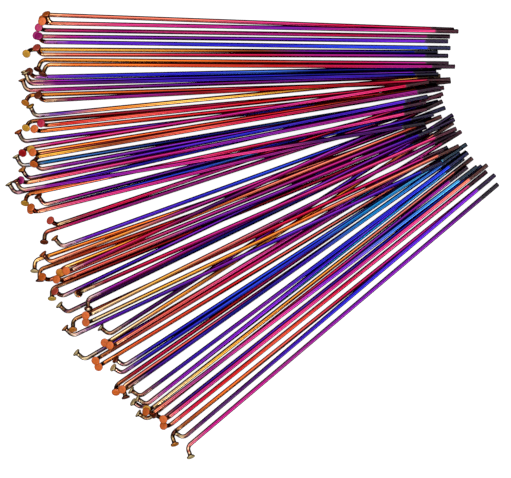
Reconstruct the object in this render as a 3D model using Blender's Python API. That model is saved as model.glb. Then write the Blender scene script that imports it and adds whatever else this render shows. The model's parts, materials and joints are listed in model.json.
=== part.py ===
# A loose handful of bent-end bicycle wheel spokes, fanned out flat on a table top.
#
# Frame: metres, +Z up, the table top is z = 0.  +X runs from the forged heads
# towards the threaded tips of the level spokes, which lie along the fan's +Y
# side.  The origin is the middle of the fan's footprint, on the table.
#
# Every spoke is the same forged wire part: a straight shaft, a rolled thread
# on the last 10 mm, a bent elbow and a flat round head.  The spokes differ
# only in their tint, where they lie, which way the elbow is rolled and how
# they rest on the ones below.

import math
from collections import namedtuple

import bmesh
import bpy
import numpy as np
from mathutils import Matrix, Vector

MM = 0.001            # all sizes below are in millimetres

# ---- one spoke ---------------------------------------------------------------
LENGTH = 186.0        # corner of the elbow's centrelines to the threaded tip
WIRE_D = 2.0          # plain shaft
THREAD_D = 2.2        # crest diameter of the rolled thread
THREAD_LEN = 10.0
THREAD_RUNOUT = 0.6   # taper from crest down to the plain wire
BEND_TURN = math.radians(72.0)   # how far the wire turns at the elbow
BEND_R = 2.8          # centreline radius of the elbow
BEND_TANGENT = BEND_R * math.tan(BEND_TURN / 2)   # corner to either end of the bend
ELBOW = 5.6           # corner to the head's outer face
HEAD_D = 3.9
HEAD_T = 0.8          # cylindrical rim of the head
CONE_T = 0.9          # coned underside, wire to rim
SIDES = 10
BEND_STEPS = 3
SHARP_ANGLE = math.radians(40)   # edges steeper than this are shaded sharp

# ---- the pile ----------------------------------------------------------------
# One row per spoke, from the level ones round to the steep ones:
#   x, y      where the elbow's corner lies, before the fan is centred
#   heading   direction of the shaft, corner to tip, degrees from +X towards +Y
#   roll      where the elbow points, degrees: 0 flat to the left of the shaft,
#             90 straight up, 180 flat to the right
#   layer     0 tends to be laid first, 2 is laid last
#   tint      the shaft's main heat tint
Spoke = namedtuple("Spoke", "x y heading roll layer tint")
SPOKES = [Spoke(*row) for row in (
    (-95.0, 101.5, -2.1, 119, 0, "magenta"),
    (-95.1, 97.4, -1.1, 85, 1, "magenta"),
    (-96.9, 94.5, -0.9, 80, 0, "magenta"),
    (-97.8, 91.6, -0.7, 89, 1, "purple"),
    (-96.7, 88.8, -0.8, 62, 0, "blue"),
    (-102.5, 85.7, -0.4, 117, 1, "gold"),
    (-97.8, 83.3, -0.2, 53, 0, "red"),
    (-97.5, 80.9, -0.5, 157, 1, "orange"),
    (-94.9, 78.5, -0.3, 154, 0, "orange"),
    (-101.0, 72.9, 1.3, 62, 0, "blue"),
    (-103.2, 70.8, 1.4, 8, 1, "purple"),
    (-104.4, 67.0, 2.0, 8, 0, "purple"),
    (-103.1, 64.8, 1.7, 137, 1, "orange"),
    (-96.8, 62.2, 2.9, 61, 0, "red"),
    (-100.5, 55.3, 5.6, 19, 2, "gold"),
    (-103.0, 52.8, 5.1, 127, 0, "red"),
    (-95.6, 50.9, 6.2, 78, 1, "red"),
    (-98.7, 48.3, 6.1, 77, 0, "orange"),
    (-105.8, 43.6, 7.1, 18, 1, "blue"),
    (-104.4, 40.6, 9.2, 115, 2, "magenta"),
    (-100.0, 38.6, 9.2, 71, 1, "orange"),
    (-106.6, 32.4, 9.4, 8, 0, "blue"),
    (-98.3, 30.7, 10.4, 14, 1, "purple"),
    (-103.6, 26.7, 11.5, 23, 2, "purple"),
    (-104.5, 24.7, 11.3, 73, 0, "magenta"),
    (-109.6, 20.0, 13.1, 8, 1, "purple"),
    (-103.8, 19.4, 12.0, 140, 2, "orange"),
    (-96.2, 14.7, 14.7, 23, 0, "purple"),
    (-100.0, 11.5, 14.8, 75, 1, "blue"),
    (-90.6, 5.5, 18.7, 56, 1, "magenta"),
    (-95.9, 2.2, 18.1, 149, 0, "magenta"),
    (-88.2, -4.4, 19.9, 13, 2, "blue"),
    (-100.5, -10.7, 18.9, 158, 0, "orange"),
    (-98.4, -14.9, 19.8, 172, 1, "red"),
    (-87.7, -14.2, 21.8, 107, 2, "gold"),
    (-92.7, -23.5, 22.0, 151, 0, "red"),
    (-88.0, -27.1, 25.6, 46, 1, "blue"),
    (-79.1, -24.9, 23.5, 268, 0, "magenta"),
    (-76.3, -28.3, 26.1, 215, 1, "purple"),
    (-85.8, -34.5, 25.9, 14, 0, "purple"),
    (-83.0, -37.8, 24.7, 144, 1, "red"),
    (-75.0, -38.6, 25.5, 83, 0, "orange"),
    (-83.1, -45.1, 25.2, 9, 2, "blue"),
    (-66.5, -44.5, 32.6, 8, 0, "purple"),
    (-66.7, -47.6, 32.4, 84, 1, "gold"),
    (-77.8, -56.0, 30.5, 13, 1, "purple"),
    (-70.0, -58.1, 31.2, 93, 0, "orange"),
    (-59.7, -58.7, 32.9, 24, 0, "blue"),
    (-60.8, -62.2, 33.6, 27, 1, "blue"),
    (-63.4, -67.7, 34.8, 120, 0, "red"),
    (-58.5, -69.1, 35.4, 79, 1, "purple"),
    (-52.3, -72.7, 36.7, 8, 0, "blue"),
    (-51.6, -78.0, 37.8, 20, 1, "blue"),
    (-47.3, -78.4, 38.0, 76, 0, "gold"),
    (-49.1, -83.3, 38.3, 8, 1, "red"),
    (-42.1, -83.0, 38.4, 37, 0, "purple"),
    (-39.3, -86.3, 38.7, 69, 1, "orange"),
    (-38.1, -90.1, 38.7, 155, 0, "orange"),
    (-32.6, -91.6, 40.2, 8, 1, "purple"),
    (-31.0, -95.8, 40.2, 159, 0, "magenta"),
)]

# ---- finish: polished, heat-tinted metal -------------------------------------
METALLIC = 1.0
ROUGHNESS = 0.2
TINTS = {             # linear RGB
    "gold": (0.62, 0.30, 0.06),
    "orange": (0.55, 0.16, 0.04),
    "red": (0.38, 0.03, 0.03),
    "magenta": (0.36, 0.03, 0.20),
    "purple": (0.13, 0.02, 0.24),
    "blue": (0.03, 0.03, 0.30),
}


def tint_material(name, colour):
    material = bpy.data.materials.new(name)
    material.use_nodes = True
    inputs = material.node_tree.nodes["Principled BSDF"].inputs
    inputs["Base Color"].default_value = (*colour, 1.0)
    inputs["Metallic"].default_value = METALLIC
    inputs["Roughness"].default_value = ROUGHNESS
    return material


# ---- the shared mesh ---------------------------------------------------------
def extrude_ring(bm, edges, move, scale=1.0):
    """Extrude an edge ring, scale it about its middle and move it."""
    geom = bmesh.ops.extrude_edge_only(bm, edges=edges)["geom"]
    verts = [item for item in geom if isinstance(item, bmesh.types.BMVert)]
    new_edges = [item for item in geom if isinstance(item, bmesh.types.BMEdge)
                 and all(v in verts for v in item.verts)]
    middle = sum((v.co for v in verts), Vector()) / len(verts)
    for v in verts:
        v.co = middle + (v.co - middle) * scale + move
    return new_edges


def spin_elbow(bm, ring):
    """Sweep the edge ring round the elbow and return the ring at its end."""
    verts = list({v for edge in ring for v in edge.verts})
    spun = bmesh.ops.spin(
        bm, geom=verts + ring, cent=(BEND_TANGENT, 0, BEND_R), axis=(0, 1, 0),
        dvec=(0, 0, 0), angle=BEND_TURN, steps=BEND_STEPS, use_duplicate=False)
    return [item for item in spun["geom_last"] if isinstance(item, bmesh.types.BMEdge)]


def spoke_mesh():
    """The shared spoke: shaft along +X, elbow towards +Z, corner at the origin."""
    bm = bmesh.new()
    circle = bmesh.ops.create_circle(
        bm, cap_ends=False, segments=SIDES, radius=THREAD_D / 2,
        matrix=Matrix.Translation((LENGTH, 0, 0)) @ Matrix.Rotation(math.pi / 2, 4, "Y"))
    tip_ring = list({edge for v in circle["verts"] for edge in v.link_edges})

    # thread, runout and plain shaft, from the tip back to the bend
    shaft_len = LENGTH - THREAD_LEN - THREAD_RUNOUT - BEND_TANGENT
    ring = extrude_ring(bm, tip_ring[:], Vector((-THREAD_LEN, 0, 0)))
    ring = extrude_ring(bm, ring, Vector((-THREAD_RUNOUT, 0, 0)), WIRE_D / THREAD_D)
    ring = extrude_ring(bm, ring, Vector((-shaft_len, 0, 0)))
    ring = spin_elbow(bm, ring)

    # neck, coned underside and rim of the head
    to_head = Vector((-math.cos(BEND_TURN), 0.0, math.sin(BEND_TURN)))
    neck = ELBOW - BEND_TANGENT - CONE_T - HEAD_T
    ring = extrude_ring(bm, ring, to_head * neck)
    ring = extrude_ring(bm, ring, to_head * CONE_T, HEAD_D / WIRE_D)
    head_ring = extrude_ring(bm, ring, to_head * HEAD_T)

    bmesh.ops.edgeloop_fill(bm, edges=tip_ring)
    bmesh.ops.edgeloop_fill(bm, edges=head_ring)
    bmesh.ops.recalc_face_normals(bm, faces=bm.faces)
    bmesh.ops.scale(bm, vec=(MM, MM, MM), verts=bm.verts)

    mesh = bpy.data.meshes.new("bent_spoke")
    bm.to_mesh(mesh)
    bm.free()
    mesh.shade_smooth()
    mesh.set_sharp_from_angle(angle=SHARP_ANGLE)
    return mesh


# ---- how the spokes rest on each other ---------------------------------------
GAP = 0.3                             # clearance wherever one spoke rests on another
BALL_PITCH = 1.0                      # spacing of the balls along the shaft
BEND_BALLS = 4
NECK_BALLS = 3
HEAD_BALLS = 12
BALANCE = LENGTH / 2 - 3.0            # centre of mass along the shaft
SLOPES = np.linspace(-0.06, 0.06, 2401)   # the slopes a resting shaft may take
UNDERCUT = 1.2                        # a smaller reach under another is ignored
LAYER_BIAS = 0.6                      # a layer counts as this much height
NO_CONTACT = -1e9                     # height asked for where nothing lies below


def outline():
    """One spoke as a string of balls: local x along the shaft, y across, z along
    the elbow's reach, and radius.  The head is a ring of small balls."""
    to_head = np.array((-math.cos(BEND_TURN), 0.0, math.sin(BEND_TURN)))
    across = np.array((0.0, 1.0, 0.0))
    in_plane = np.cross(to_head, across)
    wire_r = WIRE_D / 2
    thread_start = LENGTH - THREAD_LEN

    balls = [(x, 0.0, 0.0, wire_r) for x in np.arange(BEND_TANGENT, thread_start, BALL_PITCH)]
    # the 0.01 makes the range include the tip
    balls += [(x, 0.0, 0.0, THREAD_D / 2)
              for x in np.arange(thread_start - BALL_PITCH, LENGTH + 0.01, BALL_PITCH)]
    for angle in np.linspace(0.0, BEND_TURN, BEND_BALLS + 1)[1:]:
        balls.append((BEND_TANGENT - BEND_R * math.sin(angle), 0.0,
                      BEND_R * (1 - math.cos(angle)), wire_r))
    mid_cone = ELBOW - HEAD_T - CONE_T / 2
    for distance in np.linspace(BEND_TANGENT, mid_cone, NECK_BALLS + 1)[1:]:
        balls.append((*(to_head * distance), wire_r))
    rim_r = HEAD_T / 2
    for k in range(HEAD_BALLS):
        angle = 2 * math.pi * k / HEAD_BALLS
        outward = across * math.cos(angle) + in_plane * math.sin(angle)
        centre = to_head * (ELBOW - rim_r) + (HEAD_D / 2 - rim_r) * outward
        balls.append((*centre, rim_r))
    return np.array(balls)


BALLS = outline()
RADIUS = BALLS[:, 3]

# The balls of a level spoke: xy seen from above, distance along the shaft, and
# rise over the shaft's axis.
Plan = namedtuple("Plan", "xy along rise")


def plan(spoke):
    heading, roll = math.radians(spoke.heading), math.radians(spoke.roll)
    forward = np.array((math.cos(heading), math.sin(heading)))
    left = np.array((-forward[1], forward[0]))
    along, across, reach = BALLS[:, 0], BALLS[:, 1], BALLS[:, 2]
    aside = reach * math.cos(roll) + across * math.sin(roll)
    rise = reach * math.sin(roll) - across * math.cos(roll)
    xy = np.array((spoke.x, spoke.y)) + along[:, None] * forward + aside[:, None] * left
    return Plan(xy, along, rise)


def ball_places(shape, pose):
    """The xy and z of a spoke's balls at a pose: its corner height and slope."""
    height, slope = pose
    return shape.xy, height + slope * shape.along + shape.rise


def over(top, bottom):
    """Least shaft height at each of the top plan's balls for it to pass over
    the bottom spoke's ball places."""
    bottom_xy, bottom_z = bottom
    dist2 = ((top.xy[:, None, :] - bottom_xy[None, :, :]) ** 2).sum(axis=2)
    touch = RADIUS[:, None] + RADIUS[None, :] + GAP
    lift = np.where(dist2 < touch**2,
                    bottom_z[None, :] + np.sqrt(np.maximum(touch**2 - dist2, 0)),
                    NO_CONTACT)
    return lift.max(axis=1) - top.rise


def rest(shape, need):
    """A straight spoke comes to rest on the two supports either side of its
    middle: the lowest line over its centre of mass that nothing pokes through."""
    heights = (need[None, :] - SLOPES[:, None] * shape.along[None, :]).max(axis=1)
    best = int(np.argmin(heights + SLOPES * BALANCE))
    return float(heights[best]), float(SLOPES[best])


def order_costs(shapes, poses):
    """costs[i, j]: the extra climb if spoke i is laid before spoke j rather
    than after it, judged with every spoke on the table."""
    count = len(shapes)
    on_table = [ball_places(shape, pose) for shape, pose in zip(shapes, poses)]
    climb = np.zeros((count, count))         # climb[i, j]: i lifted to clear j
    for i in range(count):
        height, slope = poses[i]
        for j in range(count):
            if i != j:
                lift = over(shapes[i], on_table[j]) - height - slope * shapes[i].along
                climb[i, j] = max(0.0, lift.max())
    return climb.T - climb


def settle(spokes):
    """Lay the spokes one at a time and return each one's height and slope.

    The next spoke is always the one that comes to rest lowest, layer 2 after
    the others, except that a spoke reaching in under another's raised head or
    elbow goes first."""
    shapes = [plan(spoke) for spoke in spokes]
    needs = [RADIUS - shape.rise for shape in shapes]
    poses = [rest(shape, need) for shape, need in zip(shapes, needs)]
    costs = order_costs(shapes, poses)
    waiting = list(range(len(spokes)))

    def turn(i):
        worst = max((costs[i, j] for j in waiting if j != i), default=0.0)
        height, slope = poses[i]
        layer = spokes[i].layer
        return (round(max(worst - UNDERCUT, 0.0), 1), layer == 2,
                layer * LAYER_BIAS + height + slope * BALANCE)

    while waiting:
        i = min(waiting, key=turn)
        # turn() reads the waiting list, so it shrinks only once i is chosen
        waiting.remove(i)
        laid = ball_places(shapes[i], poses[i])
        for j in waiting:
            need = np.maximum(needs[j], over(shapes[j], laid))
            if (need > needs[j]).any():
                needs[j] = need
                poses[j] = rest(shapes[j], need)
    return poses


# ---- building the fan --------------------------------------------------------
def place(obj, spoke, pose, shift=(0.0, 0.0, 0.0)):
    """Stand the object's +X along the shaft and its +Z along the elbow."""
    height, slope = pose
    heading, roll = math.radians(spoke.heading), math.radians(spoke.roll)
    pitch = math.atan(slope)
    forward = Vector((math.cos(heading) * math.cos(pitch),
                      math.sin(heading) * math.cos(pitch),
                      math.sin(pitch)))
    left = Vector((-math.sin(heading), math.cos(heading), 0.0))
    up = forward.cross(left)
    elbow = left * math.cos(roll) + up * math.sin(roll)
    side = elbow.cross(forward)
    obj.matrix_world = Matrix((
        (forward.x, side.x, elbow.x, (spoke.x + shift[0]) * MM),
        (forward.y, side.y, elbow.y, (spoke.y + shift[1]) * MM),
        (forward.z, side.z, elbow.z, (height + shift[2]) * MM),
        (0, 0, 0, 1)))


def spoke_object(number, spoke, mesh, finish):
    obj = bpy.data.objects.new("spoke_%02d" % number, mesh)
    bpy.context.scene.collection.objects.link(obj)
    slot = obj.material_slots[0]
    slot.link = "OBJECT"
    slot.material = finish.copy()
    slot.material.name = "spoke_%02d_%s" % (number, spoke.tint)
    return obj


def centring_shift(objects, mesh):
    """The move, in mm, that brings the footprint's middle to the origin and the
    lowest point to the table."""
    bpy.context.view_layer.update()
    points = np.array([obj.matrix_world @ v.co for obj in objects for v in mesh.vertices])
    low, high = points.min(axis=0), points.max(axis=0)
    return (-(low[0] + high[0]) / 2 / MM, -(low[1] + high[1]) / 2 / MM, -low[2] / MM)


def main():
    for obj in list(bpy.data.objects):
        bpy.data.objects.remove(obj, do_unlink=True)

    mesh = spoke_mesh()
    finishes = {name: tint_material("tint_" + name, colour) for name, colour in TINTS.items()}
    mesh.materials.append(finishes["purple"])   # gives every object its one slot
    poses = settle(SPOKES)

    objects = []
    for number, (spoke, pose) in enumerate(zip(SPOKES, poses), start=1):
        obj = spoke_object(number, spoke, mesh, finishes[spoke.tint])
        place(obj, spoke, pose)
        objects.append(obj)

    shift = centring_shift(objects, mesh)
    for obj, spoke, pose in zip(objects, SPOKES, poses):
        place(obj, spoke, pose, shift)


main()
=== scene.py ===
# A fanned handful of loose bent-end bicycle spokes with a heat-tinted, oil-slick
# finish.  They lie heaped on a table near z = 0, heads on the -X side and threads
# towards +X.  Each of the frame's spokes is rebuilt in full detail (rolled thread,
# smooth elbow, forged head) where its solid lies; more spokes rest among them.

import json
import math

import bpy
import numpy as np
from mathutils import Matrix, Vector

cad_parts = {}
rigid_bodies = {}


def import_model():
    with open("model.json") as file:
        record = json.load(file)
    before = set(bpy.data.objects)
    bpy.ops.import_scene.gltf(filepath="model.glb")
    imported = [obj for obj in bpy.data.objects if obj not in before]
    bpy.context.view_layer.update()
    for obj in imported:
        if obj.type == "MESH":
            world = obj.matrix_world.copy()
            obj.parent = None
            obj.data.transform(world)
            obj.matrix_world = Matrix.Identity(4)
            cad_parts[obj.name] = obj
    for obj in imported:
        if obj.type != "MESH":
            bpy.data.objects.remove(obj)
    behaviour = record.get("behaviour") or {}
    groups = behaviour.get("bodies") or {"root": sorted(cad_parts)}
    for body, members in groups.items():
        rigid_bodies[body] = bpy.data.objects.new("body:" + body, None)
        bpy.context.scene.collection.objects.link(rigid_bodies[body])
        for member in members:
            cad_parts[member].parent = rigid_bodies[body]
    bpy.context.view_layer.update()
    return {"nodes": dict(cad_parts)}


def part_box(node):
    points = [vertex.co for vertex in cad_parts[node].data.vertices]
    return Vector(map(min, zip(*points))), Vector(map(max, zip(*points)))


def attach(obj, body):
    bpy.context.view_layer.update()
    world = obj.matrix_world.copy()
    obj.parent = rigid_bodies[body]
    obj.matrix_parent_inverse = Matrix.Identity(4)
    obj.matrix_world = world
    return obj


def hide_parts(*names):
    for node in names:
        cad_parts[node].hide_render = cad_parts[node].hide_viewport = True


# start from an empty scene, whatever the startup file holds
for leftover in list(bpy.data.objects):
    bpy.data.objects.remove(leftover, do_unlink=True)

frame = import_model()


MM = 0.001

# ---- one spoke (millimetres) --------------------------------------------------
# The shaft runs along +X from the corner, where the lines of shaft and elbow
# meet, to the threaded tip.  The elbow rises towards +Z.
LENGTH = 186.0
WIRE_R = 1.0
THREAD_LEN = 10.0
THREAD_START = LENGTH - THREAD_LEN
THREAD_PITCH = 0.4536      # 56 threads per inch
THREAD_CREST_R = 1.1
THREAD_ROOT_R = 0.95
THREAD_LEAD = 0.5          # the thread begins to grow this far before its start
THREAD_FADE = 1.2          # and reaches full depth over this length
RIDGE_SWING = 1.2          # above 0.5, crests and roots are flattened
BEND_TURN = math.radians(72.0)
BEND_R = 2.8
BEND_STEPS = 14
BEND_THINNING = 0.03
TANGENT = BEND_R * math.tan(BEND_TURN / 2)   # corner to either end of the bend
HEAD_R = 1.95
PIP_CENTRE = 5.565         # from the corner to the middle of the head's face
SIDES = 24
THETA = np.arange(SIDES) * 2 * math.pi / SIDES

# from the corner up the elbow to the head
HEAD_DIR = np.array((-math.cos(BEND_TURN), 0.0, math.sin(BEND_TURN)))

# cut end with a small chamfer: distance back from the tip, radius
CUT_END = [(0.0, 0.45), (0.0, 0.80), (0.12, 0.93)]

# two shallow marks the heading dies leave where they grip the wire: x, radius / WIRE_R
DIE_MARKS = [
    (6.3, 1.0), (6.1, 0.965), (5.9, 1.0), (5.5, 1.0), (5.3, 0.965), (5.1, 1.0), (3.6, 1.0),
]

# neck, coned underside, rounded rim, slightly domed face and the small pip the
# forging leaves: distance from the corner, radius, face mask
HEAD_PROFILE = [
    (3.15, 1.00, 0.0), (3.75, 1.00, 0.0), (4.00, 1.03, 0.0), (4.22, 1.11, 0.0),
    (4.42, 1.25, 0.0), (4.59, 1.44, 0.0), (4.72, 1.66, 0.0), (4.80, 1.82, 0.0),
    (4.87, 1.91, 0.1), (4.97, 1.95, 0.2), (5.16, 1.95, 0.3), (5.34, 1.95, 0.4),
    (5.44, 1.91, 0.6), (5.50, 1.83, 0.9), (5.53, 1.68, 1.0), (5.565, 1.40, 1.0),
    (5.59, 1.05, 1.0), (5.60, 0.72, 1.0), (5.60, 0.50, 1.0), (5.585, 0.36, 1.0),
    (5.57, 0.22, 0.9),
]


def thread_radius(x):
    """Radius per side of the rolled thread, a helix that fades in at its inner end."""
    phase = (x / THREAD_PITCH + THETA / (2 * math.pi)) % 1.0
    ridge = np.clip(0.5 + RIDGE_SWING * np.cos(2 * math.pi * phase), 0.0, 1.0)
    grow = np.clip((x - THREAD_START + THREAD_LEAD) / THREAD_FADE, 0.0, 1.0)
    root = WIRE_R + (THREAD_ROOT_R - WIRE_R) * grow
    crest = WIRE_R + (THREAD_CREST_R - WIRE_R) * grow
    return root + (crest - root) * ridge


def bend_point(angle):
    """x and z on the bend's centre line, this far round from the shaft."""
    return TANGENT - BEND_R * math.sin(angle), BEND_R * (1 - math.cos(angle))


def spoke_rings():
    """The wire from tip to head: (x, z, turn, radius, thread, face and bend masks)."""
    rings = []

    def ring(x, radius, z=0.0, turn=0.0, thread=0.0, face=0.0, bend=0.0):
        rings.append((x, z, turn, radius, thread, face, bend))

    for back, radius in CUT_END:
        ring(LENGTH - back, radius, thread=1.0)
    x = LENGTH - 0.28
    while x > THREAD_START - 0.45:
        ring(x, thread_radius(x), thread=1.0)
        x -= THREAD_PITCH / 8
    ring(THREAD_START - 0.55, WIRE_R, thread=0.8)
    ring(THREAD_START - 0.9, WIRE_R)
    # the drawn wire
    for x in np.linspace(THREAD_START - 3.0, 12.0, 30):
        ring(x, WIRE_R)
    for x in (9.0, 7.0):
        ring(x, WIRE_R, bend=0.15)
    for x, ratio in DIE_MARKS:
        ring(x, WIRE_R * ratio, bend=0.4)
    # the elbow, very slightly thinned on the bend
    for k in range(BEND_STEPS + 1):
        turn = BEND_TURN * k / BEND_STEPS
        thin = 1.0 - BEND_THINNING * math.sin(math.pi * k / BEND_STEPS)
        x, z = bend_point(turn)
        ring(x, WIRE_R * thin, z=z, turn=turn, bend=0.6 + 0.4 * k / BEND_STEPS)
    for reach, radius, face in HEAD_PROFILE:
        ring(HEAD_DIR[0] * reach, radius, z=HEAD_DIR[2] * reach, turn=BEND_TURN,
             face=face, bend=1.0)
    return rings


def build_spoke_data():
    """Points (metres), faces and per-point masks of one spoke in its own axes."""
    rings = spoke_rings()
    side = np.array((0.0, 1.0, 0.0))
    verts, path = [], []
    last = None
    for x, z, turn, radius, *_masks in rings:
        centre = np.array((x, 0.0, z))
        path.append(0.0 if last is None else path[-1] + float(np.linalg.norm(centre - last)))
        last = centre
        up = np.array((math.sin(turn), 0.0, math.cos(turn)))
        verts.append(centre + (radius * np.cos(THETA))[:, None] * side
                     + (radius * np.sin(THETA))[:, None] * up)
    faces = []
    for i in range(len(rings) - 1):
        a, b = i * SIDES, (i + 1) * SIDES
        for k in range(SIDES):
            m = (k + 1) % SIDES
            faces.append((a + k, b + k, b + m, a + m))
    # close both ends with a centre point
    verts = np.concatenate(verts)
    tip, pip = len(verts), len(verts) + 1
    verts = np.vstack((verts, (LENGTH, 0, 0), HEAD_DIR * PIP_CENTRE))
    last_ring = (len(rings) - 1) * SIDES
    for k in range(SIDES):
        m = (k + 1) % SIDES
        faces.append((tip, k, m))
        faces.append((pip, last_ring + m, last_ring + k))

    def per_point(ring_values, at_tip, at_pip):
        return np.append(np.repeat(ring_values, SIDES), (at_tip, at_pip))

    thread, face, bend = zip(*(ring[4:] for ring in rings))
    masks = {
        "along": 1.0 - per_point(path, 0.0, path[-1]) / path[-1],   # 1 tip, 0 head
        "thread": per_point(thread, 1.0, 0.0),
        "face": per_point(face, 0.0, 0.6),
        "bend": per_point(bend, 0.0, 1.0),
        "around": np.append(np.tile(THETA / (2 * math.pi), len(rings)), (0.0, 0.0)),
    }
    return verts * MM, faces, masks


VERTS, FACES, MASKS = build_spoke_data()


def spoke_mesh(name, lie):
    """The spoke's mesh where it lies; "wire" keeps each point's place on the spoke."""
    mesh = bpy.data.meshes.new(name)
    m = np.array(lie)
    mesh.from_pydata([tuple(v) for v in VERTS @ m[:3, :3].T + m[:3, 3]], [], FACES)
    wire = mesh.attributes.new("wire", "FLOAT_VECTOR", "POINT")
    wire.data.foreach_set("vector", VERTS.astype(np.float32).ravel())
    for key, values in MASKS.items():
        layer = mesh.attributes.new(key, "FLOAT", "POINT")
        layer.data.foreach_set("value", values.astype(np.float32))
    mesh.validate()
    mesh.update()
    mesh.shade_smooth()
    mesh.set_sharp_from_angle(angle=math.radians(50))
    return mesh


def lie_matrix(forward, side, elbow, corner):
    """Spoke axes to the world: +X along the shaft, +Z up the elbow."""
    return Matrix(tuple(zip((*forward, 0), (*side, 0), (*elbow, 0), (*corner, 1))))


SOLID_SIDES = 10           # points in one ring of a plain solid


def spoke_pose(node):
    """Where a solid spoke lies, worked out from its points."""
    obj = frame["nodes"][node]
    pts = np.array([obj.matrix_world @ v.co for v in obj.data.vertices], dtype=float)
    pts = np.unique(pts.round(8), axis=0)
    mid = pts.mean(axis=0)
    axis = np.linalg.svd(pts - mid)[2][0]
    places = (pts - mid) @ axis

    def points_at(depth, sign, tolerance=0.25 * MM):
        """The points this deep from the solid's end on the given side."""
        signed = places * sign
        return pts[np.abs((signed.max() - signed) - depth) < tolerance]

    # only the threaded end has clean rings at 0 and at the thread's length
    for sign in (1, -1):
        end, inner = points_at(0.0, sign), points_at(THREAD_LEN * MM, sign)
        if len(end) == SOLID_SIDES and len(inner) == SOLID_SIDES:
            break
    else:
        raise RuntimeError("no threaded end on " + node)
    tip = end.mean(axis=0)
    # aim along the whole shaft where the ring at the bend can be told apart
    near = points_at((LENGTH - TANGENT) * MM, sign, 0.12 * MM)
    forward = tip - (near if len(near) == SOLID_SIDES else inner).mean(axis=0)
    forward /= np.linalg.norm(forward)
    corner = tip - forward * LENGTH * MM
    off = pts - corner
    aside = off - np.outer(off @ forward, forward)
    far = np.linalg.norm(aside, axis=1)
    elbow = aside[far > far.max() - 0.5 * MM].mean(axis=0)
    elbow -= forward * (elbow @ forward)
    elbow /= np.linalg.norm(elbow)
    return lie_matrix(forward, np.cross(elbow, forward), elbow, corner)


# ---- the heat tint ------------------------------------------------------------
# Colours of the oxide film, in sRGB.
PALETTE = {
    "cream": (0.98, 0.88, 0.62), "yellow": (0.98, 0.80, 0.36), "gold": (0.95, 0.70, 0.24),
    "amber": (0.92, 0.56, 0.18), "orange": (0.91, 0.43, 0.13), "salmon": (0.90, 0.46, 0.36),
    "coral": (0.88, 0.34, 0.26), "redorange": (0.80, 0.24, 0.12), "red": (0.74, 0.06, 0.08),
    "crimson": (0.76, 0.04, 0.24), "darkred": (0.52, 0.02, 0.07), "maroon": (0.45, 0.03, 0.18),
    "brown": (0.52, 0.22, 0.09), "pink": (0.84, 0.20, 0.46), "magenta": (0.70, 0.08, 0.46),
    "plum": (0.56, 0.08, 0.46), "purple": (0.44, 0.05, 0.58), "violet": (0.46, 0.10, 0.68),
    "blueviolet": (0.32, 0.09, 0.72), "indigo": (0.20, 0.05, 0.60), "blue": (0.13, 0.11, 0.70),
    "brightblue": (0.14, 0.25, 0.80), "steel": (0.20, 0.42, 0.74), "teal": (0.05, 0.46, 0.70),
    "cyan": (0.24, 0.58, 0.76), "navy": (0.05, 0.06, 0.46), "darkpurple": (0.26, 0.03, 0.34),
}

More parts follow.
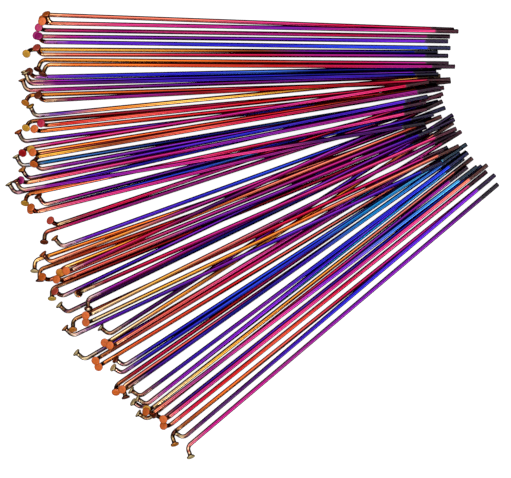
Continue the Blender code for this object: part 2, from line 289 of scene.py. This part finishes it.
# One line per spoke: the film's colours from elbow to thread, then the head.
FINISHES = {
    "spoke_01": ("salmon salmon salmon pink crimson crimson", "orange"),
    "spoke_02": ("plum plum violet magenta magenta crimson", "orange"),
    "spoke_03": ("pink magenta pink magenta crimson magenta", "pink"),
    "spoke_04": ("magenta violet purple violet blueviolet violet", "magenta"),
    "spoke_05": ("violet blueviolet blue blue brightblue brightblue", "magenta"),
    "spoke_06": ("gold gold amber brown purple navy", "gold"),
    "spoke_07": ("salmon coral crimson crimson magenta purple", "coral"),
    "spoke_08": ("amber amber orange redorange crimson magenta", "brown"),
    "spoke_09": ("orange orange redorange red crimson magenta", "brown"),
    "spoke_10": ("violet blue blue steel navy navy", "brown"),
    "spoke_11": ("magenta blueviolet indigo blue navy violet", "cream"),
    "spoke_12": ("magenta plum purple plum purple plum", "amber"),
    "spoke_13": ("amber orange redorange crimson crimson maroon", "amber"),
    "spoke_14": ("maroon plum darkred red darkred crimson", "brown"),
    "spoke_15": ("indigo amber yellow gold amber gold", "gold"),
    "spoke_16": ("brown darkred maroon maroon darkred maroon", "gold"),
    "spoke_17": ("red coral crimson red crimson red", "crimson"),
    "spoke_18": ("orange redorange red crimson red crimson", "orange"),
    "spoke_19": ("indigo purple navy navy blue indigo", "orange"),
    "spoke_20": ("magenta pink magenta magenta pink crimson", "red"),
    "spoke_21": ("amber orange redorange red redorange orange", "gold"),
    "spoke_22": ("teal steel navy navy steel navy", "cream"),
    "spoke_23": ("plum purple violet purple plum purple", "brown"),
    "spoke_24": ("indigo purple blueviolet blue indigo blueviolet", "amber"),
    "spoke_25": ("orange pink magenta purple plum magenta", "magenta"),
    "spoke_26": ("purple blueviolet blue blue indigo blue", "cream"),
    "spoke_27": ("orange salmon pink crimson magenta pink", "gold"),
    "spoke_28": ("magenta purple violet blue blue indigo", "brown"),
    "spoke_29": ("indigo blue brightblue steel blue blue", "orange"),
    "spoke_30": ("maroon crimson magenta crimson crimson pink", "coral"),
    "spoke_31": ("crimson plum plum magenta magenta pink", "brown"),
    "spoke_32": ("purple blueviolet blue brightblue blue blue", "amber"),
    "spoke_33": ("amber orange orange salmon salmon coral", "cream"),
    "spoke_34": ("brown redorange red darkred crimson red", "brown"),
    "spoke_35": ("gold amber orange salmon salmon coral", "amber"),
    "spoke_36": ("brown darkred red darkred crimson maroon", "yellow"),
    "spoke_37": ("purple indigo violet blueviolet blue blue", "coral"),
    "spoke_38": ("maroon crimson magenta magenta pink pink", "orange"),
    "spoke_39": ("purple magenta purple violet purple violet", "brown"),
    "spoke_40": ("darkpurple darkpurple navy navy blue navy", "cream"),
    "spoke_41": ("brown redorange darkred crimson crimson magenta", "amber"),
    "spoke_42": ("cream gold amber orange salmon salmon", "orange"),
    "spoke_43": ("purple indigo purple blueviolet violet blue", "amber"),
    "spoke_44": ("darkpurple darkpurple purple violet blueviolet violet", "cream"),
    "spoke_45": ("cream amber brown amber orange salmon", "orange"),
    "spoke_46": ("darkpurple indigo darkpurple navy teal steel", "cream"),
    "spoke_47": ("orange redorange red coral salmon coral", "orange"),
    "spoke_48": ("indigo blue brightblue brightblue steel cyan", "brown"),
    "spoke_49": ("indigo blue brightblue blue teal cyan", "cream"),
    "spoke_50": ("darkred crimson red magenta crimson magenta", "orange"),
    "spoke_51": ("darkpurple indigo navy indigo teal steel", "orange"),
    "spoke_52": ("darkpurple indigo purple blue blue brightblue", "cream"),
    "spoke_53": ("indigo blue steel teal teal cyan", "cream"),
    "spoke_54": ("cream gold amber amber salmon salmon", "gold"),
    "spoke_55": ("maroon darkred maroon crimson purple plum", "cream"),
    "spoke_56": ("darkpurple indigo blueviolet indigo blue brightblue", "brown"),
    "spoke_57": ("crimson red redorange crimson pink pink", "orange"),
    "spoke_58": ("brown orange coral crimson magenta magenta", "amber"),
    "spoke_59": ("darkpurple darkpurple indigo blue blueviolet violet", "brown"),
    "spoke_60": ("magenta magenta plum purple purple darkpurple", "cream"),
}

FILM_GAIN = 0.72           # brightness of the film against its palette colour
RUN_START, RUN_SPAN = 0.03, 0.90             # where the colours sit along the wire
WANDER_STEP = (0.37, 0.11, 0.23)             # noise shift from one spoke to the next
FILM_STRETCH = (22.0, 420.0, 420.0)          # noise scale, drawn out along the wire
RELIEF_STRETCH = (18.0, 520.0, 520.0)
DRIFT = 0.16               # how far colours wander along the wire
FLANK_FROM, FLANK_GAIN = 0.42, 1.6           # where the thick flank sets in, how fast
FLANK_TINT = (0.62, 0.45, 1.1, 1.0)
STRAW_ON_BEND = 0.62       # how much straw covers the film at the elbow
FACE_FROM = 0.05           # face mask above this is head
# painted shade on the thread: how far the film is darkened, and the near-black colour it goes to
THREAD_PAINTED_SHADE = 0.84
THREAD_SHADE_COLOUR = (0.004, 0.002, 0.005, 1.0)
SCUFF_FROM, SCUFF_GAIN = 0.58, 0.5
SCUFF_MIX, SCUFF_COLOUR = 0.5, (0.60, 0.55, 0.55, 1.0)
FACE_METALLIC_DROP = -0.55
BASE_ROUGHNESS = 0.10
SCUFF_ROUGH, THREAD_ROUGH, FACE_ROUGH = 0.10, 0.04, 0.30     # roughness each adds
SPECULAR_TINT = (0.30, 0.20, 0.36, 1.0)
BASE_COAT, EXTRA_COAT = 0.12, 0.75           # coat on plain wire, added on the thread
COAT_ON_BEND = 0.6         # share of the extra coat at the elbow


def linear(rgb, gain=1.0):
    return tuple(gain * (c / 12.92 if c <= 0.04045 else ((c + 0.055) / 1.055) ** 2.4) for c in rgb)


class Graph:
    """Lays out shader nodes in a material or world."""

    def __init__(self, owner):
        owner.use_nodes = True
        self.tree = owner.node_tree

    def node(self, kind, **props):
        n = self.tree.nodes.new(kind)
        for key, value in props.items():
            setattr(n, key, value)
        return n

    def put(self, socket, value):
        """Link a socket to this input, or set its value."""
        if isinstance(value, bpy.types.NodeSocket):
            self.tree.links.new(value, socket)
        else:
            socket.default_value = value

    def math(self, operation, a, b=0.0, c=0.0, clamp=False):
        n = self.node("ShaderNodeMath", operation=operation, use_clamp=clamp)
        for socket, value in zip(n.inputs, (a, b, c)):
            self.put(socket, value)
        return n.outputs[0]

    def attribute(self, name, output="Fac"):
        return self.node("ShaderNodeAttribute", attribute_name=name).outputs[output]

    def mapping(self, vector, scale, location=(0.0, 0.0, 0.0)):
        n = self.node("ShaderNodeMapping")
        self.put(n.inputs["Vector"], vector)
        n.inputs["Location"].default_value = location
        n.inputs["Scale"].default_value = scale
        return n.outputs["Vector"]

    def mix(self, factor, a, b, mode="MIX"):
        n = self.node("ShaderNodeMix", data_type="RGBA", blend_type=mode)
        self.put(n.inputs["Factor"], factor)
        self.put(n.inputs[6], a)
        self.put(n.inputs[7], b)
        return n.outputs[2]

    def ramp(self, factor, stops, mode="LINEAR"):
        n = self.node("ShaderNodeValToRGB")
        n.color_ramp.interpolation = mode
        elements = n.color_ramp.elements
        while len(elements) > 1:
            elements.remove(elements[-1])
        elements[0].position = stops[0][0]
        elements[0].color = (*stops[0][1], 1.0)
        for position, colour in stops[1:]:
            elements.new(position).color = (*colour, 1.0)
        self.put(n.inputs["Fac"], factor)
        return n.outputs["Color"]

    def noise(self, vector, scale, detail, roughness=0.5):
        n = self.node("ShaderNodeTexNoise")
        n.inputs["Scale"].default_value = scale
        n.inputs["Detail"].default_value = detail
        n.inputs["Roughness"].default_value = roughness
        self.put(n.inputs["Vector"], vector)
        return n.outputs["Fac"]


def film_colour(g, stretched, along, bend, run):
    """The oxide film on the wire, before head, thread and wear."""
    # the film's thickness drifts along and round the wire, so its colour does too
    drift = g.noise(stretched, scale=1.0, detail=2.0)
    shift = g.math("MULTIPLY", g.math("SUBTRACT", drift, 0.5), DRIFT)
    place = g.math("ADD", along, shift, clamp=True)
    names = run.split()
    stops = [(RUN_START + RUN_SPAN * k / (len(names) - 1), linear(PALETTE[n], FILM_GAIN))
             for k, n in enumerate(names)]
    film = g.ramp(place, stops, "EASE")

    # thicker film on one side: a darker, bluer flank and a lighter crown
    flank = g.noise(stretched, scale=0.35, detail=1.0)
    flank = g.math("SUBTRACT", flank, FLANK_FROM, clamp=True)
    flank = g.math("MULTIPLY", flank, FLANK_GAIN, clamp=True)
    film = g.mix(flank, film, g.mix(1.0, film, FLANK_TINT, "MULTIPLY"))

    # the elbow runs out to pale straw and brown, where the film is thin
    straw = g.ramp(g.noise(stretched, scale=1.7, detail=2.0),
                   [(0.30, linear(PALETTE["brown"], FILM_GAIN * 0.35)),
                    (0.46, linear(PALETTE["amber"], FILM_GAIN)),
                    (0.56, linear(PALETTE["cream"], 1.1))])
    return g.mix(g.math("MULTIPLY", bend, STRAW_ON_BEND), film, straw)


def heat_tint(name, index, run, head):
    """One spoke's finish: film colours from elbow to thread, and the head's colour."""
    mat = bpy.data.materials.new("heat_tint_" + name)
    g = Graph(mat)
    along, thread, face, bend = map(g.attribute, ("along", "thread", "face", "bend"))

    # coordinates along the wire, shifted so that no two spokes wander alike
    coord = g.attribute("wire", "Vector")
    stretched = g.mapping(coord, scale=FILM_STRETCH,
                          location=[index * step for step in WANDER_STEP])
    film = film_colour(g, stretched, along, bend, run)

    # the head in its own colour, with painted shade darkening its rounded rim
    disc = linear(PALETTE[head], FILM_GAIN * 1.25)
    disc_with_shaded_rim = g.ramp(face, [(0.0, linear(PALETTE["brown"], 0.25)), (0.75, disc), (1.0, disc)])
    film = g.mix(g.math("GREATER_THAN", face, FACE_FROM), film, disc_with_shaded_rim)

    # painted shade: the film is darkened almost to black on the rolled thread, standing in for the
    # shade in its grooves
    film = g.mix(thread, film, g.mix(THREAD_PAINTED_SHADE, film, THREAD_SHADE_COLOUR))

    # fine handling scuffs along the wire
    scuff = g.noise(stretched, scale=2.6, detail=2.0, roughness=0.55)
    worn = g.math("MULTIPLY", g.math("SUBTRACT", scuff, SCUFF_FROM, clamp=True), SCUFF_GAIN)
    film = g.mix(worn, film, g.mix(SCUFF_MIX, film, SCUFF_COLOUR))

    rough = BASE_ROUGHNESS
    for mask, gain in ((scuff, SCUFF_ROUGH), (thread, THREAD_ROUGH), (face, FACE_ROUGH)):
        rough = g.math("ADD", rough, g.math("MULTIPLY", mask, gain))
    coated = g.math("MAXIMUM", thread, g.math("MULTIPLY", bend, COAT_ON_BEND))

    # the faint unevenness of drawn and straightened wire, as a very shallow relief
    relief = g.node("ShaderNodeBump")
    relief.inputs["Strength"].default_value = 0.04
    relief.inputs["Distance"].default_value = 0.00002
    lines = g.mapping(coord, scale=RELIEF_STRETCH)
    g.put(relief.inputs["Height"], g.noise(lines, scale=1.0, detail=1.0))

    surface = {
        "Base Color": film,
        "Metallic": g.math("MULTIPLY_ADD", face, FACE_METALLIC_DROP, 1.0),
        "Roughness": rough,
        "Specular Tint": SPECULAR_TINT,
        "Coat Weight": g.math("MULTIPLY_ADD", coated, EXTRA_COAT, BASE_COAT),
        "Coat Roughness": 0.07,
        "Coat IOR": 1.5,
        "Normal": relief.outputs["Normal"],
    }
    for key, value in surface.items():
        g.put(g.tree.nodes["Principled BSDF"].inputs[key], value)
    return mat


# ---- the frame's spokes ---------------------------------------------------------
def lay_spoke(name, lie, index, run, head):
    piece = bpy.data.objects.new("wire_" + name, spoke_mesh("wire_" + name, lie))
    bpy.context.scene.collection.objects.link(piece)
    piece.data.materials.append(heat_tint(name, index, run, head))
    return piece


LIES = {node: spoke_pose(node) for node in sorted(frame["nodes"])}
for index, (node, lie) in enumerate(LIES.items()):
    piece = lay_spoke(node, lie, index, *FINISHES[node])
    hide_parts(node)
    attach(piece, node)


# ---- further spokes ------------------------------------------------------------
# The frame holds sixty spokes.  The handful has more, so these lie among them:
# corner x, y (mm), heading and roll (degrees), film from elbow to thread, head.
FURTHER = [
    ("spoke_64", -97.9, 37.1, 9.2, 75, "salmon coral crimson maroon maroon plum", "orange"),
    ("spoke_69", -82.9, -15.5, 24.4, 85, "plum crimson darkpurple magenta violet maroon", "orange"),
    ("spoke_61", -92.1, 96.8, -1.1, 35, "salmon pink magenta purple plum pink", "orange"),
    ("spoke_70", -87.0, -20.2, 22.1, 75, "coral coral purple purple magenta indigo", "orange"),
    ("spoke_74", -59.2, -68.8, 34.7, 165, "salmon coral plum steel teal cyan", "brown"),
    ("spoke_67", -92.2, -11.9, 21.0, 15, "salmon amber plum magenta magenta darkpurple", "orange"),
    ("spoke_68", -93.1, -20.2, 22.1, 60, "salmon coral magenta plum magenta purple", "orange"),
    ("spoke_73", -70.2, -55.5, 31.1, 95, "brown coral crimson magenta plum navy", "orange"),
    ("spoke_66", -98.3, 11.0, 13.8, 60, "salmon pink magenta plum plum indigo", "orange"),
    ("spoke_62", -101.2, 69.1, 1.4, 5, "plum darkpurple indigo navy indigo navy", "cream"),
    ("spoke_65", -105.1, 20.8, 9.4, 10, "plum purple magenta pink darkpurple darkpurple", "brown"),
    ("spoke_71", -74.0, -35.7, 26.5, 85, "cream gold salmon plum magenta plum", "orange"),
    ("spoke_72", -63.0, -49.6, 31.6, 80, "salmon coral pink plum violet pink", "orange"),
    ("spoke_75", -48.2, -76.7, 38.3, 10, "plum purple violet indigo indigo steel", "cream"),
    ("spoke_76", -45.6, -80.7, 37.2, 60, "salmon plum pink violet steel cyan", "orange"),
    ("spoke_77", -38.7, -83.0, 38.4, 80, "pink magenta pink magenta pink salmon", "orange"),
    ("spoke_63", -98.1, 36.1, 9.7, 130, "gold brown coral crimson maroon plum", "orange"),
]

SPARE = 0.15               # air left between two spokes, mm
HEAD_BALL_R = 0.4          # balls that fill the head's disc
HEAD_BALL_REACH = 5.2      # their distance from the corner, up the elbow
MAX_SLOPE, SLOPES = 0.07, 71                 # slopes tried for each spoke
TOP_PENALTY = 6.0          # cost of each mm above the frame's own pile


def string_of_balls(step):
    """One spoke as balls: place on the spoke (mm) and radius."""
    shaft_end = THREAD_START - 1
    balls = [(x, 0.0, 0.0, WIRE_R) for x in np.arange(TANGENT, shaft_end, step)]
    balls += [(x, 0.0, 0.0, THREAD_CREST_R) for x in np.arange(shaft_end, LENGTH + 0.01, step)]
    for angle in np.linspace(0.0, BEND_TURN, 7)[1:]:
        x, z = bend_point(angle)
        balls.append((x, 0.0, z, WIRE_R))
    out_x, _, out_z = HEAD_DIR
    for reach in np.linspace(TANGENT, 4.3, 4)[1:]:
        radius = WIRE_R * (1.0 if reach < 4.2 else 1.15)
        balls.append((out_x * reach, 0.0, out_z * reach, radius))
    for ring in (0.8, HEAD_R - HEAD_BALL_R):
        for k in range(16):
            angle = 2 * math.pi * k / 16
            across, rise = ring * math.cos(angle), ring * math.sin(angle)
            balls.append((out_x * HEAD_BALL_REACH + out_z * rise, across,
                          out_z * HEAD_BALL_REACH - out_x * rise, HEAD_BALL_R))
    return np.array(balls)


FINE, COARSE = string_of_balls(0.5), string_of_balls(0.8)
PILE_TOP = max(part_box(node)[1][2] for node in LIES) * 1000.0


def balls_at(lie):
    m = np.array(lie)
    return np.column_stack((COARSE[:, :3] @ m[:3, :3].T + m[:3, 3] * 1000.0, COARSE[:, 3]))


def lowest_lie(x, y, heading, roll, laid):
    """The lowest straight lie for a spoke placed so that it touches nothing laid."""
    heading, roll = math.radians(heading), math.radians(roll)
    ahead = np.array((math.cos(heading), math.sin(heading)))
    left = np.array((-ahead[1], ahead[0]))
    along, across, reach, radius = FINE.T
    aside = reach * math.cos(roll) + across * math.sin(roll)
    rise = reach * math.sin(roll) - across * math.cos(roll)
    plan = np.array((x, y)) + along[:, None] * ahead + aside[:, None] * left
    # keep only the balls close by, then the pairs that overlap in plan
    others = np.concatenate(laid)
    low, high = plan.min(axis=0) - 4, plan.max(axis=0) + 4
    others = others[((others[:, :2] > low) & (others[:, :2] < high)).all(axis=1)]
    others = others[np.abs((others[:, :2] - (x, y)) @ left) < 12]
    gap_squared = ((plan[:, None, :] - others[None, :, :2]) ** 2).sum(axis=2)
    touch = radius[:, None] + others[None, :, 3] + SPARE
    i, j = np.nonzero(gap_squared < touch ** 2)
    half = np.sqrt(touch[i, j] ** 2 - gap_squared[i, j])
    best = None
    for slope in np.linspace(-MAX_SLOPE, MAX_SLOPE, SLOPES):
        lift = slope * along + rise
        # climb from the table past every blocked span of heights
        z = float((radius - lift).max())
        low, high = others[j, 2] - half - lift[i], others[j, 2] + half - lift[i]
        order = np.argsort(low)
        for bottom, top in zip(low[order], high[order]):
            if bottom >= z:
                break
            z = max(z, float(top))
        peak = float((z + lift + radius).max())
        cost = z + slope * LENGTH / 2 + TOP_PENALTY * max(0.0, peak - PILE_TOP)
        if best is None or cost < best[0]:
            best = (cost, z, slope)
    _, z, slope = best
    pitch = math.atan(slope)
    forward = Vector((*(ahead * math.cos(pitch)), math.sin(pitch)))
    level = Vector((*left, 0.0))
    elbow = level * math.cos(roll) + forward.cross(level) * math.sin(roll)
    return lie_matrix(forward, elbow.cross(forward), elbow, (x * MM, y * MM, z * MM))


def neighbour(lie):
    """The frame's spoke that a further spoke lies closest along."""
    m = np.array(lie)
    at = np.linspace(0.01, LENGTH * MM, 12)[:, None] * m[:3, 0] + m[:3, 3]

    def gap(node):
        other = np.array(LIES[node])
        along = (at - other[:3, 3]) @ other[:3, 0]
        foot = np.clip(along, 0, LENGTH * MM)[:, None] * other[:3, 0] + other[:3, 3]
        return float(np.linalg.norm(at - foot, axis=1).mean())

    return min(LIES, key=gap)


laid = [balls_at(lie) for lie in LIES.values()]
for index, (name, x, y, heading, roll, run, head) in enumerate(FURTHER, start=60):
    lie = lowest_lie(x, y, heading, roll, laid)
    laid.append(balls_at(lie))
    host = neighbour(lie)
    piece = lay_spoke(name, lie, index, run, head)
    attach(piece, host)


# ---- table, light and camera (metres) ---------------------------------------------
TABLE_HALF, TABLE_Z, TABLE_CELLS = 3.0, -0.0004, 24
TABLE_IN_REFLECTIONS = (0.012, 0.008, 0.014, 1.0)
TABLE_GLOW, TABLE_GLOW_COLOUR = 0.90, (1.0, 0.985, 1.0, 1.0)


def white_table():
    mat = bpy.data.materials.new("white_table")
    g = Graph(mat)
    g.tree.nodes.remove(g.tree.nodes["Principled BSDF"])
    # white to the eye, nearly black in the wires' reflections
    ray = g.node("ShaderNodeLightPath")
    coord = g.node("ShaderNodeTexCoord").outputs["Object"]
    grain = g.noise(coord, scale=90.0, detail=3.0)
    white = g.ramp(grain, [(0.3, (0.34, 0.34, 0.345)), (0.7, (0.36, 0.36, 0.36))])
    diffuse = g.node("ShaderNodeBsdfDiffuse")
    g.put(diffuse.inputs["Color"],
          g.mix(ray.outputs["Is Glossy Ray"], white, TABLE_IN_REFLECTIONS))
    # a lit, translucent table: shadows on it stay faint
    glow = g.node("ShaderNodeEmission")
    glow.inputs["Color"].default_value = TABLE_GLOW_COLOUR
    g.put(glow.inputs["Strength"], g.math("MULTIPLY", ray.outputs["Is Camera Ray"], TABLE_GLOW))
    both = g.node("ShaderNodeAddShader")
    g.put(both.inputs[0], diffuse.outputs["BSDF"])
    g.put(both.inputs[1], glow.outputs["Emission"])
    g.put(g.tree.nodes["Material Output"].inputs["Surface"], both.outputs["Shader"])
    return mat


def table_top():
    mesh = bpy.data.meshes.new("table_top")
    n = TABLE_CELLS
    ticks = [TABLE_HALF * (2 * i / n - 1) for i in range(n + 1)]
    pts = [(x, y, TABLE_Z) for y in ticks for x in ticks]
    corners = [j * (n + 1) + i for j in range(n) for i in range(n)]
    mesh.from_pydata(pts, [], [(c, c + 1, c + n + 2, c + n + 1) for c in corners])
    obj = bpy.data.objects.new("table_top", mesh)
    bpy.context.scene.collection.objects.link(obj)
    obj.data.materials.append(white_table())


def key_box():
    """A softbox overhead on the +Y side, aimed at the origin."""
    place = Vector((-0.10, 0.32, 0.85))
    width, height, radiance = 1.1, 0.9, 0.5
    data = bpy.data.lights.new("key_box", "AREA")
    data.shape = "RECTANGLE"
    data.size = width
    data.size_y = height
    data.energy = radiance * math.pi * width * height
    obj = bpy.data.objects.new("key_box", data)
    bpy.context.scene.collection.objects.link(obj)
    obj.location = place
    obj.rotation_euler = (-place).to_track_quat("-Z", "Y").to_euler()


# Soft reflector cards round the table, each a smooth lobe of the sky:
# direction, tightness and brightness.  Smooth cards keep the polished wire clean.
CARDS = [
    ((-0.08, 0.34, 0.94), 7.0, 2.0),         # big overhead card, towards +Y
    ((-0.60, -0.10, 0.79), 10.0, 0.7),       # over the heads, towards -X
    ((0.55, -0.60, 0.58), 90.0, 13.0),       # narrow card towards +X and -Y
    ((0.06, -0.80, 0.60), 90.0, 8.0),        # narrow card towards -Y
]
SKY_FILL = 0.16            # sky brightness straight up, without the cards


def studio():
    world = bpy.data.worlds.new("studio")
    bpy.context.scene.world = world
    g = Graph(world)
    g.tree.nodes.clear()

    def calc(operation, a, b):
        n = g.node("ShaderNodeMath", operation=operation)
        g.put(n.inputs[0], a)
        g.put(n.inputs[1], b)
        return n.outputs[0]

    out = g.node("ShaderNodeOutputWorld")
    sky = g.node("ShaderNodeBackground")
    look = g.node("ShaderNodeTexCoord").outputs["Generated"]
    split = g.node("ShaderNodeSeparateXYZ")
    g.put(split.inputs[0], look)
    light = calc("MULTIPLY", calc("MAXIMUM", split.outputs["Z"], 0.0), SKY_FILL)
    for toward, tightness, brightness in CARDS:
        facing = g.node("ShaderNodeVectorMath", operation="DOT_PRODUCT")
        g.put(facing.inputs[0], look)
        facing.inputs[1].default_value = Vector(toward).normalized()
        lobe = calc("POWER", calc("MAXIMUM", facing.outputs["Value"], 0.0), tightness)
        light = calc("ADD", light, calc("MULTIPLY", lobe, brightness))
    # the camera itself sees at least plain white
    eye = g.node("ShaderNodeLightPath")
    g.put(sky.inputs["Strength"], calc("MAXIMUM", light, eye.outputs["Is Camera Ray"]))
    sky.inputs["Color"].default_value = (1.0, 1.0, 1.0, 1.0)
    g.put(out.inputs["Surface"], sky.outputs["Background"])


VIEW_WIDTH = 0.2335282555  # width of table seen
CAMERA_HEIGHT = 1.6
SENSOR_WIDTH = 36.0        # mm


def overhead_camera():
    """Looks straight down on the table."""
    data = bpy.data.cameras.new("camera")
    camera = bpy.data.objects.new("camera", data)
    bpy.context.scene.collection.objects.link(camera)
    data.sensor_width = SENSOR_WIDTH
    data.lens = SENSOR_WIDTH * CAMERA_HEIGHT / VIEW_WIDTH
    data.clip_end = 50.0
    camera.location = (0.00139, -0.00132, CAMERA_HEIGHT)
    camera.rotation_euler = (0.0, 0.0, 0.0)
    bpy.context.scene.camera = camera


table_top()
key_box()
studio()
overhead_camera()
bpy.context.scene.view_settings.view_transform = "Standard"
